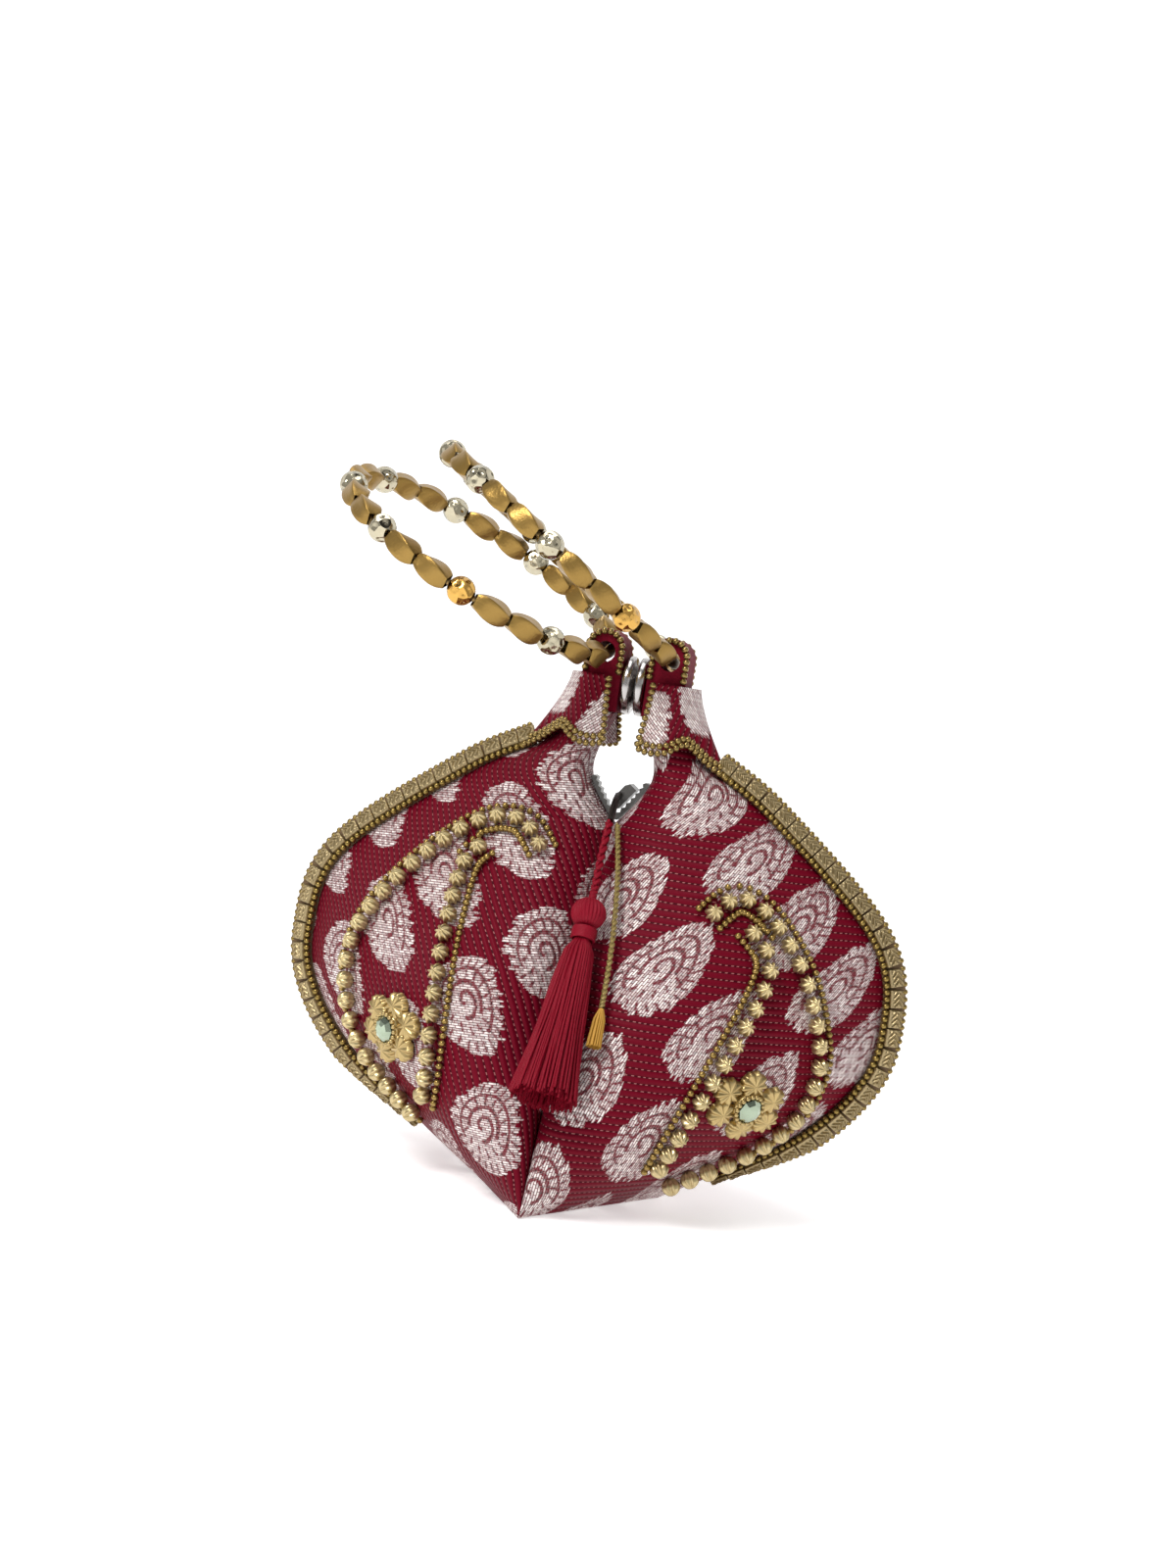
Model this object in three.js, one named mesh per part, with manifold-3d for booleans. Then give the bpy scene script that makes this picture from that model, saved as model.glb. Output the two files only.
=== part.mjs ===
import * as THREE from 'three';
import { mergeVertices } from 'three/addons/utils/BufferGeometryUtils.js';
import Module from 'manifold-3d';

const wasm = await Module();
wasm.setup();

// Driving sizes, millimetres. Origin in the middle of the flat base, +Z up, front at -Y.
const HALF_WIDTH = 90.5;
const WIDEST_AT = 64;
const BASE_HALF = 32;
const TIP_DEPTH = 58;
const NECK_Z = 146;
const ZIP_LOW = 112;
const ZIP_HALF = 3;
const BULGE = 27;
const GAP = 0.3;
const TRIM_WIDE = 6;
const PLATE_PITCH = 7.2;
const PLATE_LONG = 6.6;
const HINGE_X = 10;
const HINGE_Z = 164;
const NECK_THICK = 12;
const NECK_DEEP = 14;
const NECK_BORE = 3.2;
const MAGNET_R = 9;
const RING_R = 46.5;
const WIRE_R = 0.9;
const BARE_HALF = 8.5;
const ROUNDS = 8;
const OVAL_R = 4.6;
const ROUND_SLOT = 8.75;
const OVAL_LONG = (2 * Math.PI * RING_R - 2 * BARE_HALF - ROUNDS * ROUND_SLOT) / (2 * ROUNDS + 2);
const ROUND_R = 4.2;
const ROUND_BORE = 1.6;
const BEAD_PITCH = 5.6;
const BEAD_R = 3.2;
const LEAN_LEFT = 27;
const LEAN_RIGHT = 34;
const TILT_LEFT = 10;
const TILT_RIGHT = -5;

// Edge seam of the right lobe and how far its face puffs out, both as pairs of size and height.
const SEAM = [
  [BASE_HALF, 0], [66, 23], [85, 44], [HALF_WIDTH, WIDEST_AT],
  [83.5, 90], [47, 121.5], [25, 135], [17, NECK_Z],
];
const PUFF = [[0, 0], [14, 12], [25, 35], [BULGE, 65], [20, 95], [12, 120], [6.5, NECK_Z]];
const NOTCH = [[0, ZIP_LOW], [10, 128], [5, NECK_Z]];

// Rows of large beads, as points of x and height seen from the front.
const RIGHT_ROWS = [
  [[36, 90], [43, 97], [53, 93], [65, 79], [72, 62], [73.5, 50], [69, 36], [56, 23], [34, 10]],
  [[47, 90], [55, 82], [55, 72], [49, 54], [41, 35], [33, 17]],
];
const LEFT_ROWS = [
  [[-16, 101], [-25, 109], [-38, 106], [-55, 90], [-68, 69], [-68, 50], [-59, 33], [-38, 19]],
  [[-33, 101], [-38, 94], [-38, 78], [-36, 57], [-34, 36], [-35, 26]],
];
const FLOWERS = { left: [-50, 44], right: [56.2, 39.5] };

const v3 = (x, y, z) => new THREE.Vector3(x, y, z);
const radians = (degrees) => THREE.MathUtils.degToRad(degrees);
const mix = THREE.MathUtils.lerp;

function curveOf(pairs) {
  return new THREE.SplineCurve(pairs.map(([a, b]) => new THREE.Vector2(a, b)));
}

function byHeight(pairs) {
  const spots = curveOf(pairs).getPoints(60 * (pairs.length - 1));
  return (z) => {
    const next = spots.findIndex((p) => p.y >= z);
    if (next < 1) return next === 0 ? spots[0].x : spots[spots.length - 1].x;
    const [a, b] = [spots[next - 1], spots[next]];
    return mix(a.x, b.x, (z - a.y) / (b.y - a.y));
  };
}

const seamX = byHeight(SEAM);
const puff = byHeight(PUFF);
const notch = byHeight(NOTCH);
const innerX = (z) => (z <= ZIP_LOW ? 0 : notch(z));
const innerY = (z) => ZIP_HALF + (TIP_DEPTH - ZIP_HALF) * Math.max(0, 1 - z / ZIP_LOW);
const swell = (u) => (u ** 0.5 * (1 - u) ** 0.9) / 0.4015;

function depthAt(x, z) {
  const u = (Math.abs(x) - innerX(z)) / (seamX(z) - innerX(z));
  const k = Math.min(1, Math.max(0, u));
  return innerY(z) * (1 - k) + puff(z) * swell(k);
}

// Frame standing on the front face at x, z: first axis level, last axis out of the cloth.
function onFace(x, z, lift) {
  const here = v3(x, -depthAt(x, z), z);
  const across = v3(2, -depthAt(x + 1, z) + depthAt(x - 1, z), 0);
  const upward = v3(0, -depthAt(x, z + 1) + depthAt(x, z - 1), 2);
  const out = across.clone().cross(upward).normalize();
  const level = across.normalize();
  const rise = out.clone().cross(level);
  return new THREE.Matrix4().makeBasis(level, rise, out).setPosition(here.addScaledVector(out, lift));
}

function facingOut(shape) {
  const at = shape.getAttribute('position');
  const index = Array.from(shape.getIndex().array);
  const p = index.map((i) => v3().fromBufferAttribute(at, i));
  let volume = 0;
  for (let i = 0; i < p.length; i += 3) volume += p[i].dot(p[i + 1].clone().cross(p[i + 2]));
  if (volume < 0) {
    for (let i = 0; i < index.length; i += 3) [index[i], index[i + 1]] = [index[i + 1], index[i]];
  }
  shape.setIndex(index);
  return shape;
}

// Closed skin through a row of closed outlines with the same number of points.
function skin(rings, loop = false) {
  const n = rings[0].length;
  const points = rings.flat();
  const index = [];
  const spans = loop ? rings.length : rings.length - 1;
  for (let i = 0; i < spans; i += 1) {
    const a = i * n;
    const b = ((i + 1) % rings.length) * n;
    for (let j = 0; j < n; j += 1) {
      const k = (j + 1) % n;
      index.push(a + j, a + k, b + k, a + j, b + k, b + j);
    }
  }
  if (!loop) {
    [0, rings.length - 1].forEach((i) => {
      const middle = rings[i].reduce((sum, p) => sum.add(p), v3(0, 0, 0)).multiplyScalar(1 / n);
      const m = points.push(middle) - 1;
      for (let j = 0; j < n; j += 1) {
        const pair = [i * n + j, i * n + ((j + 1) % n)];
        if (i === 0) pair.reverse();
        index.push(m, ...pair);
      }
    });
  }
  const shape = new THREE.BufferGeometry().setFromPoints(points);
  shape.setIndex(index);
  return facingOut(shape);
}

function round(n, rx, ry, height, wave = () => 1) {
  return Array.from({ length: n }, (_, j) => {
    const a = (2 * Math.PI * j) / n;
    return v3(rx * wave(j) * Math.cos(a), ry * wave(j) * Math.sin(a), height);
  });
}

function toSolid(shape) {
  const bare = shape.clone();
  bare.deleteAttribute('normal');
  bare.deleteAttribute('uv');
  const merged = mergeVertices(bare, 1e-4);
  const all = merged.getIndex().array;
  const kept = [];
  for (let i = 0; i < all.length; i += 3) {
    const [a, b, c] = [all[i], all[i + 1], all[i + 2]];
    if (a !== b && b !== c && a !== c) kept.push(a, b, c);
  }
  const vertProperties = new Float32Array(merged.getAttribute('position').array);
  const mesh = new wasm.Mesh({ numProp: 3, vertProperties, triVerts: new Uint32Array(kept) });
  return new wasm.Manifold(mesh);
}

function joined(shapes) {
  const whole = shapes.map(toSolid).reduce((a, b) => a.add(b));
  const mesh = whole.getMesh();
  const shape = new THREE.BufferGeometry();
  shape.setAttribute('position', new THREE.BufferAttribute(new Float32Array(mesh.vertProperties), 3));
  shape.setIndex(Array.from(mesh.triVerts));
  return shape;
}

function mirrored(shape) {
  const other = shape.clone().applyMatrix4(new THREE.Matrix4().makeScale(-1, 1, 1));
  return facingOut(other);
}

function tube(points, radius, steps) {
  const shape = new THREE.Shape().absarc(0, 0, radius, 0, 2 * Math.PI);
  const path = new THREE.CatmullRomCurve3(points.map((p) => v3(...p)));
  return new THREE.ExtrudeGeometry(shape, { extrudePath: path, steps, curveSegments: 4 });
}

const COATS = {
  brocade: [0x780a26, 0.65, 0],
  gold: [0x96824a, 0.4, 0.7],
  matte_gold: [0xb98c3c, 0.5, 0.6],
  bright: [0xc8be96, 0.2, 0.8],
  chrome: [0xd8d8da, 0.15, 1],
  stone: [0xb9a7c4, 0.1, 0],
  red_thread: [0x960f2d, 0.8, 0],
  gold_thread: [0x96823c, 0.8, 0],
  zip_metal: [0xa9a294, 0.35, 1],
};

const bag = new THREE.Group();
bag.name = 'clutch_bag';

function add(name, coat, shape) {
  const [color, roughness, metalness] = COATS[coat];
  shape.computeVertexNormals();
  const mesh = new THREE.Mesh(shape, new THREE.MeshStandardMaterial({ color, roughness, metalness }));
  mesh.name = name;
  bag.add(mesh);
}

// Padded pouch: level slices from crease to edge seam, front and back alike.
const LEVELS = [0, 4, 10, 18, 28, 40, 54, 68, 82, 96, 106, 112, 115, 118, 122, 126, 130, 138, NECK_Z];
const ACROSS = [0, 0.015, 0.06, 0.13, 0.23, 0.35, 0.5, 0.65, 0.8, 0.92, 1];
const slices = LEVELS.map((z) => {
  const start = z <= ZIP_LOW ? -0.4 : innerX(z);
  const front = ACROSS.map((u) => {
    const y = innerY(z) * (1 - u) + puff(z) * swell(u);
    return v3(mix(start, seamX(z), u), -y, z);
  });
  const back = front.slice(0, -1).reverse().map((p) => v3(p.x, -p.y, p.z));
  return front.concat(back);
});
const lobe = skin(slices);
add('bag_body', 'brocade', joined([lobe, mirrored(lobe)]));

// Edge trim: a band outside the seam with a row of raised plates on its front.
function edgeTrim() {
  const path = curveOf(SEAM);
  const spots = path.getSpacedPoints(400);
  const from = spots.findIndex((p) => p.y >= 8.5);
  const to = spots.findIndex((p) => p.y >= 130.5);
  const step = path.getLength() / 400;
  const count = Math.floor(((to - from) * step) / PLATE_PITCH);
  const rings = [];
  const ring = (along, front) => {
    const u = (from * step + along) / path.getLength();
    const p = path.getPointAt(u);
    const t = path.getTangentAt(u);
    const at = (out, y) => v3(p.x + t.y * out, y, p.y - t.x * out);
    const near = 0.5;
    const far = near + TRIM_WIDE;
    rings.push([at(near, -front), at(far, -front), at(far, 1.2), at(near, 1.2)]);
  };
  for (let i = 0; i < count; i += 1) {
    const s = i * PLATE_PITCH;
    ring(s, 1.2);
    ring(s + 0.2, 2.6);
    ring(s + PLATE_LONG - 0.2, 2.6);
    ring(s + PLATE_LONG, 1.2);
  }
  return skin(rings);
}
const trim = edgeTrim();
add('left_edge_trim', 'gold', mirrored(trim));
add('right_edge_trim', 'gold', trim);

// Row of large beads sewn down: one strand that swells at each bead and narrows between.
function beadRow(pairs) {
  const flat = curveOf(pairs).getSpacedPoints(60);
  const path = new THREE.CatmullRomCurve3(flat.map((p) => v3(p.x, -depthAt(p.x, p.y), p.y)));
  const count = Math.round(path.getLength() / BEAD_PITCH);
  const rings = [];
  for (let i = 0; i < count; i += 1) {
    [[0.05, 0.5], [0.5, 1], [0.95, 0.5]].forEach(([t, k]) => {
      const p = path.getPointAt((i + t) / count);
      const ahead = path.getTangentAt((i + t) / count);
      const out = v3(0, 0, 0).setFromMatrixColumn(onFace(p.x, p.z, 0), 2);
      const side = ahead.clone().cross(out).normalize();
      const at = (w, h) => p.clone().addScaledVector(side, w * k).addScaledVector(out, 0.7 + h * k);
      rings.push([at(-BEAD_R, 0), at(-2, 2.8), at(2, 2.8), at(BEAD_R, 0)]);
    });
  }
  return skin(rings);
}

function flower([x, z]) {
  const parts = [skin([round(12, 6, 6, 0), round(12, 5.4, 5.4, 1.7)]).applyMatrix4(onFace(x, z, 0.7))];
  for (let i = 0; i < 6; i += 1) {
    const a = (Math.PI * i) / 3 + 0.35;
    const petal = skin([round(8, 4.4, 4.2, 0), round(8, 3.9, 3.7, 1.4), round(8, 2.2, 2, 2.1)]);
    petal.rotateZ(a);
    parts.push(petal.applyMatrix4(onFace(x + 6.6 * Math.cos(a), z + 6.6 * Math.sin(a), 0.7)));
  }
  return parts;
}

Object.entries({ left: LEFT_ROWS, right: RIGHT_ROWS }).forEach(([side, rows]) => {
  rows.forEach((row, i) => {
    add(`${side}_bead_row_${i + 1}`, 'gold', beadRow(row));
  });
  add(`${side}_flower`, 'gold', joined(flower(FLOWERS[side])));
  const stone = skin([round(6, 2.6, 2.6, 0), round(6, 4.2, 4.2, 1.1), round(6, 2.4, 2.4, 2.4)]);
  add(`${side}_stone`, 'stone', stone.applyMatrix4(onFace(...FLOWERS[side], 0.7 + 1.7 + GAP)));
});

// Neck tabs with a cross bore for the handle, snap halves between them, flared collars.
function neckTab() {
  const half = NECK_THICK / 2;
  const shape = new THREE.Shape();
  shape.moveTo(-half, NECK_Z + GAP);
  shape.lineTo(half, NECK_Z + GAP);
  shape.lineTo(half, HINGE_Z + 1);
  shape.absarc(0, HINGE_Z + 1, half, 0, Math.PI, false);
  shape.closePath();
  shape.holes.push(new THREE.Path().absarc(0, HINGE_Z, NECK_BORE, 0, 2 * Math.PI, true));
  const tab = new THREE.ExtrudeGeometry(shape, { depth: NECK_DEEP, bevelEnabled: false, curveSegments: 8 });
  return tab.rotateX(Math.PI / 2).translate(HINGE_X, NECK_DEEP / 2, 0);
}

function collar() {
  const rings = [];
  for (let i = 0; i <= 20; i += 1) {
    const a = radians(mix(-105, 105, i / 20));
    const point = (1 + Math.cos(4 * a)) / 2;
    const flare = mix(0.86, 1, point);
    const low = mix(141, 136, point);
    const spot = (rx, ry, z) => v3(HINGE_X + rx * Math.cos(a), ry * Math.sin(a), z);
    const inside = [spot(8.9, 10.3, 157), spot(21 * flare, 15.6 * flare, low)];
    const outside = [spot(22.2 * flare, 16.8 * flare, low), spot(10.1, 11.5, 157)];
    rings.push(inside.concat(outside));
  }
  return skin(rings);
}

function snapHalf() {
  const profile = [[0, 0], [MAGNET_R - 2, 0], [MAGNET_R, 1], [MAGNET_R, 2.6], [MAGNET_R - 1, 3.55], [0, 3.55]];
  const disc = new THREE.LatheGeometry(profile.map(([r, h]) => new THREE.Vector2(r, h)), 20);
  return disc.rotateZ(-Math.PI / 2).translate(0.15, 0, 155);
}

const tab = neckTab();
add('left_neck', 'brocade', tab.clone().translate(-2 * HINGE_X, 0, 0));
add('right_neck', 'brocade', tab);
const flared = collar();
add('left_collar', 'brocade', mirrored(flared));
add('right_collar', 'brocade', flared);
const half = snapHalf();
add('left_magnet', 'chrome', half.clone().rotateY(Math.PI).translate(0, 0, 310));
add('right_magnet', 'chrome', half);

// Handles: a ring of twisted four-sided beads on a wire, with loose round beads between.
function handleFrame(side, lean, tilt) {
  const axis = v3(0, Math.cos(radians(tilt)), Math.sin(radians(tilt)));
  const reach = v3(-Math.cos(radians(lean)), 0, Math.sin(radians(lean)));
  reach.addScaledVector(axis, -reach.dot(axis)).normalize();
  const third = reach.clone().cross(axis);
  return new THREE.Matrix4().makeBasis(reach, axis, third).setPosition(side * HINGE_X, 0, HINGE_Z);
}

function section(s, r, turn) {
  const a = s / RING_R;
  const radial = v3(-Math.cos(a), Math.sin(a), 0);
  return [0, 1, 2, 3].map((j) => {
    const b = turn + (Math.PI / 2) * j;
    const p = radial.clone().multiplyScalar(RING_R + r * Math.cos(b));
    return p.add(v3(RING_R, 0, r * Math.sin(b)));
  });
}

function addHandle(side, sign, lean, tilt) {
  const frame = handleFrame(sign, lean, tilt);
  const rings = [section(-3, WIRE_R, 0), section(3, WIRE_R, 0)];
  const rounds = [];
  let s = BARE_HALF;
  for (let i = 0; i < 3 * ROUNDS + 2; i += 1) {
    if (i % 3 === 2) {
      rounds.push(s + ROUND_SLOT / 2);
      s += ROUND_SLOT;
    } else {
      const at = (t) => s + mix(0.15, OVAL_LONG - 0.15, t);
      rings.push(section(at(0), WIRE_R, -0.4));
      [[0, 2.4], [0.2, 3.9], [0.5, OVAL_R], [0.8, 3.9], [1, 2.4]].forEach(([t, r]) => {
        rings.push(section(at(t), r, mix(-0.4, 0.4, t)));
      });
      rings.push(section(at(1), WIRE_R, 0.4));
      s += OVAL_LONG;
    }
  }
  add(`${side}_handle_strand`, 'matte_gold', skin(rings, true).applyMatrix4(frame));
  const profile = [[ROUND_BORE, -3.85], [3.2, -2.7], [ROUND_R, 0], [3.2, 2.7], [ROUND_BORE, 3.85]];
  profile.push(profile[0]);
  rounds.forEach((along, i) => {
    const a = along / RING_R;
    const bead = new THREE.LatheGeometry(profile.map(([r, h]) => new THREE.Vector2(r, h)), 8);
    bead.rotateZ(-a);
    bead.translate(RING_R - RING_R * Math.cos(a), RING_R * Math.sin(a), 0);
    add(`${side}_round_bead_${i + 1}`, 'bright', bead.applyMatrix4(frame));
  });
}
addHandle('left', -1, LEAN_LEFT, TILT_LEFT);
addHandle('right', 1, LEAN_RIGHT, TILT_RIGHT);

// Zip: toothed strip lying on both walls of the notch, slider on the right wall.
function zipChain() {
  const wall = (z, off) => {
    const slope = (notch(z + 0.2) - notch(z)) / 0.2;
    const long = Math.hypot(1, slope);
    return [notch(z) - off / long, z + (off * slope) / long];
  };
  const under = [];
  const over = [];
  for (let i = 0; i <= 13; i += 1) {
    under.push(wall(mix(112.6, 126, i / 13), 0.45));
    over.push(wall(mix(114.6, 126, i / 13), i % 2 ? 1.5 : 2.2));
  }
  const right = under.filter(([x]) => x > 0.1).concat(over.filter(([x]) => x > 0.1).reverse());
  const shape = new THREE.Shape();
  const edge = right.slice(0, under.filter(([x]) => x > 0.1).length);
  const crest = right.slice(edge.length);
  shape.moveTo(0, edge[0][1] - 0.05);
  edge.concat(crest).forEach(([x, z]) => shape.lineTo(x, z));
  shape.lineTo(0, crest[crest.length - 1][1] + 0.1);
  crest.concat().reverse().forEach(([x, z]) => shape.lineTo(-x, z));
  edge.concat().reverse().forEach(([x, z]) => shape.lineTo(-x, z));
  shape.closePath();
  const strip = new THREE.ExtrudeGeometry(shape, { depth: 5, bevelEnabled: false });
  return strip.rotateX(Math.PI / 2).translate(0, 2.5, 0);
}
add('zip_chain', 'zip_metal', zipChain());

const LEG = Math.atan2(notch(122) - notch(116), 6);
function onLeg(shape) {
  return shape.rotateY(LEG).translate(notch(119), 0, 119);
}
const sliderShape = new THREE.Shape();
[[-2.7, -4], [-5.4, -4], [-6.2, -2.6], [-6.2, 2.6], [-5.4, 4], [-2.7, 4]].forEach(([x, z], i) => {
  if (i) sliderShape.lineTo(x, z);
  else sliderShape.moveTo(x, z);
});
const slider = new THREE.ExtrudeGeometry(sliderShape, { depth: 7, bevelEnabled: false });
add('zip_slider', 'zip_metal', onLeg(slider.rotateX(Math.PI / 2).translate(0, 3.5, 0)));

// Pull and tassel hang together from the slider and rest against the front.
const pullPath = [[0.5, -4.7, 121.5], [0.7, -9, 119.5], [1, -15, 114]];
add('zip_pull', 'zip_metal', tube(pullPath, 1.1, 6));
add('tassel_cord', 'red_thread', tube([[1.02, -15.3, 113.73], [1.8, -25, 104], [2.5, -32, 94.6]], 1.2, 8));

const TASSEL_TOP = v3(2.7, -34.4, 92);
const TASSEL_END = v3(3, -66, 35);
function onTassel(profile, sides, wave) {
  const along = TASSEL_END.clone().sub(TASSEL_TOP).normalize();
  const rings = profile.map(([r, h]) => round(sides, r, r, h, wave));
  const turn = new THREE.Quaternion().setFromUnitVectors(v3(0, 0, 1), along);
  return skin(rings).applyQuaternion(turn).translate(TASSEL_TOP.x, TASSEL_TOP.y, TASSEL_TOP.z);
}
const ball = [[1.6, 0.2], [4, 1.6], [5.2, 4.4], [5.2, 6], [4, 8.6], [2.4, 9.6]];
add('tassel_head', 'red_thread', onTassel(ball, 12));
add('tassel_binding', 'gold_thread', onTassel([[2.6, 9.9], [3.6, 10.4], [3.6, 12.8], [2.6, 13.4]], 12));
const skirt = [[2.4, 13.7], [4.6, 16.5], [5.6, 26], [6.8, 40], [8.6, 54], [10.2, 64]];
add('tassel_skirt', 'red_thread', onTassel(skirt, 24, (j) => (j % 2 ? 0.92 : 1)));

add('gold_cord', 'gold_thread', tube([[3.5, -15.2, 113.3], [8, -27, 98], [11.5, -40, 80], [13, -50, 63]], 0.9, 14));
const tuft = skin([round(8, 0.7, 0.7, 0), round(8, 1.9, 1.9, 3), round(8, 2.3, 2.3, 12)]);
const drop = new THREE.Quaternion().setFromUnitVectors(v3(0, 0, 1), v3(0.02, -0.45, -0.89).normalize());
add('gold_tuft', 'gold_thread', tuft.applyQuaternion(drop).translate(13.05, -50.2, 62.7));

export default bag;
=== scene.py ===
import math

import bpy
import numpy as np
from mathutils import Matrix


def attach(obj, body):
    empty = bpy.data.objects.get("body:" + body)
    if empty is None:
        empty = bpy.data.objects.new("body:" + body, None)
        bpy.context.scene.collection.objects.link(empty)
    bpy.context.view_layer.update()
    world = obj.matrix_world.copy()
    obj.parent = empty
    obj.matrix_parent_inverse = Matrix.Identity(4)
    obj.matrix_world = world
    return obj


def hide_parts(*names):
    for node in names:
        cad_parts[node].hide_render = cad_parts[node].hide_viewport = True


bl_info = {
    "name": "Brocade clutch bag",
    "version": (1, 0, 0),
    "blender": (4, 2, 0),
    "location": "View3D > Sidebar > Clutch bag",
    "description": "Builds the cloth, beads, tassel and stage of a brocade clutch bag",
    "category": "Object",
}

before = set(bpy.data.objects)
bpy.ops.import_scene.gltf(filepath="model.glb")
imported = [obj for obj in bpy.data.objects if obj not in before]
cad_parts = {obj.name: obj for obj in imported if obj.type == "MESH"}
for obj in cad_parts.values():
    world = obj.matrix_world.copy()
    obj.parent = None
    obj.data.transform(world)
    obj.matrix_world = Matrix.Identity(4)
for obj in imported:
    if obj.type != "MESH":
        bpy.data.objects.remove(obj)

# Lengths are in millimetres and angles in radians, unless a comment says otherwise.
MM = 0.001

# Lobes: pairs of width, or depth, and height.
LOBE_TOP, CREASE_TOP, FULL_PUFF = 146, 112, 27
SEAM = ((32, 0), (66, 23), (85, 44), (90.5, 64), (83.5, 90), (47, 121.5), (25, 135), (17, LOBE_TOP))
PUFF = ((0, 0), (14, 12), (25, 35), (FULL_PUFF, 65), (20, 95), (12, 120), (6.5, LOBE_TOP))
NOTCH = ((0, CREASE_TOP), (10, 128), (5, LOBE_TOP))
CREASE_DEPTH, TIP_DEPTH = 3, 55
SWELL_PEAK = 0.4015
SLICE_POWER = 1.35
BASE_MIDDLE, TOP_MIDDLE, CLOTH_HEIGHT = 16.0, 11.0, 175

# Woven pattern. Arcs: level, half width, foot. Barbs: count, slant, gap, lowest and highest level.
RIB_PITCH, STITCH_PITCH, THREAD_ROW = 2.5, 1.8, 0.8
LEAF_WIDE, LEAF_HIGH, LEAF_DROP = 28, 40, 20
LEAF_LONG, LEAF_HALF, LEAF_TAPER, LEAF_EDGE = 16.5, 11.6, 2.6, 0.98
LEAF_ARCS = ((0.7, 0.04, -0.45), (0.42, 0.05, -0.15))
LEAF_BARBS = ((13, 4, 0.42, 0.76, 0.94), (7, -3, 0.36, 0.48, 0.65))
CURL_LEVEL, CURL_RISE, CURL_HALF = 0.2, 0.045, 0.045
FRAY, BARE = 2.8, 0.12
# The second red is painted shade, laid into the bottom of each rib groove of the satin.
TAB_RED, GROOVE_SHADE_RED = (0.14, 0.002, 0.012), (0.04, 0.0006, 0.004)
CLOTH_SHINE, THREAD_SHINE = 0.07, 0.15

# Edge trim. Trim seeds: how far out from the seam, and their place front to back.
TRIM_LOW, TRIM_TOP, TRIM_TILT = 9.0, 133.5, 0.45
PLATE_GRID, PLATE_PITCH, PLATE_OUT = (30, 24), 5.75, 3.6
BAND_PITCH, BAND_OUT = 2.0, 3.5
BAND_SECTION = ((0, -3.9, 0.35), (0, 3.0, 0.35), (0, 3.0, -1.1), (0, -3.9, -1.1))
TRIM_SEEDS = ((0.9, -1.9), (6.1, 0.6))

# Bead motifs. Steps and lifts of beads are shares of their radius.
RIGHT_ROWS = (
    ((36, 90), (43, 97), (53, 93), (65, 79), (72, 62), (73.5, 50), (69, 36), (56, 23), (34, 10)),
    ((47, 90), (55, 82), (55, 72), (49, 54), (41, 35), (33, 17)),
)
LEFT_ROWS = (
    ((-16, 101), (-25, 109), (-38, 106), (-55, 90), (-68, 69), (-68, 50), (-59, 33), (-38, 19)),
    ((-33, 101), (-38, 94), (-38, 78), (-36, 57), (-34, 36), (-35, 26)),
)
FLOWERS = {"left": (-50, 44), "right": (56.2, 39.5)}
SEED_STEP, SEED_SQUASH, SEED_LIFT, SEED_GAP = 1.75, 0.85, 0.8, 0.2
MELON_PITCH, MELON_LIFT = 6.0, 0.9
PETALS, PETAL_RING, PETAL_TURN, PETAL_FLUTES = 6, 6.9, 0.35, 9
STONE_RING, STONE_BEADS = 4.5, 18

# Necks and snap. The disc's profile holds pairs of radius and height.
NECK_X, TAB_HALF, TAB_R, TAB_MIDDLE = 10, 7, 5.2, 165
COLLAR_TOP, COLLAR_LOW, COLLAR_SIDE, COLLAR_CLOTH = 157, 140, math.radians(108), 1.1
COLLAR_WIDE, COLLAR_DEEP, HEM_DEEP, HEM_INSET = 8.9, 10.3, 12.6, 8.6
COLLAR_AROUND, COLLAR_DOWN = 160, 30
SNAP_HEIGHT = 155
SNAP_DISC = (
    (0.02, 0.1), (6.4, 0.1), (6.9, 0.5), (8.2, 0.6), (8.8, 0.9),
    (9, 1.6), (9, 2.8), (8.4, 3.4), (0.02, 3.55),
)

# Handles: place of each hinge, and its lean and tilt in degrees. Every third bead is round.
HANDLES = {"left": (-10, 27, 10), "right": (10, 34, -5)}
RING_R, HINGE_Z = 46.5, 164.0
BEAD_COUNT, FIRST_BEAD, OVAL_STEP, ROUND_STEP = 26, 8.5, 11.4, 8.75
OVAL_R, OVAL_TWIST, OVAL_POWER, ROUND_R = 3.15, 0.32, 14, 4.2
WIRE_R, SLEEVE_R, SLEEVE_HALF = 0.9, 1.7, 6.0
GOLD_ROUNDS = {"left": (6,), "right": (7,)}

# Tassel and gold cord.
TASSEL_CORD = ((1.02, -15.3, 113.73), (1.8, -25, 104), (2.5, -32, 94.6), (2.75, -35.2, 91.1))
SKIRT_TOP, SKIRT_END = (2.7, -34.4, 92.0), (3.0, -66.0, 35.0)
SKIRT_THREADS, SKIRT_START, SKIRT_LONG = 420, 13.7, 50.3
SKIRT_REACH = ((0, 0.06, 0.25, 0.55, 0.8, 1), (2.2, 4.2, 5.4, 6.8, 8.4, 9.9))
GOLD_CORD = ((3.5, -15.2, 113.3), (8, -27, 98), (11.5, -40, 80), (13, -50, 63))
TUFT_TOP, TUFT_WAY, TUFT_LONG, TUFT_THREADS = (13.05, -50.2, 62.7), (0.02, -0.45, -0.89), 11.6, 60
TUFT_REACH = ((0, 0.25, 1), (0.5, 1.6, 2.1))
PLY_STEPS = 260

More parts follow.
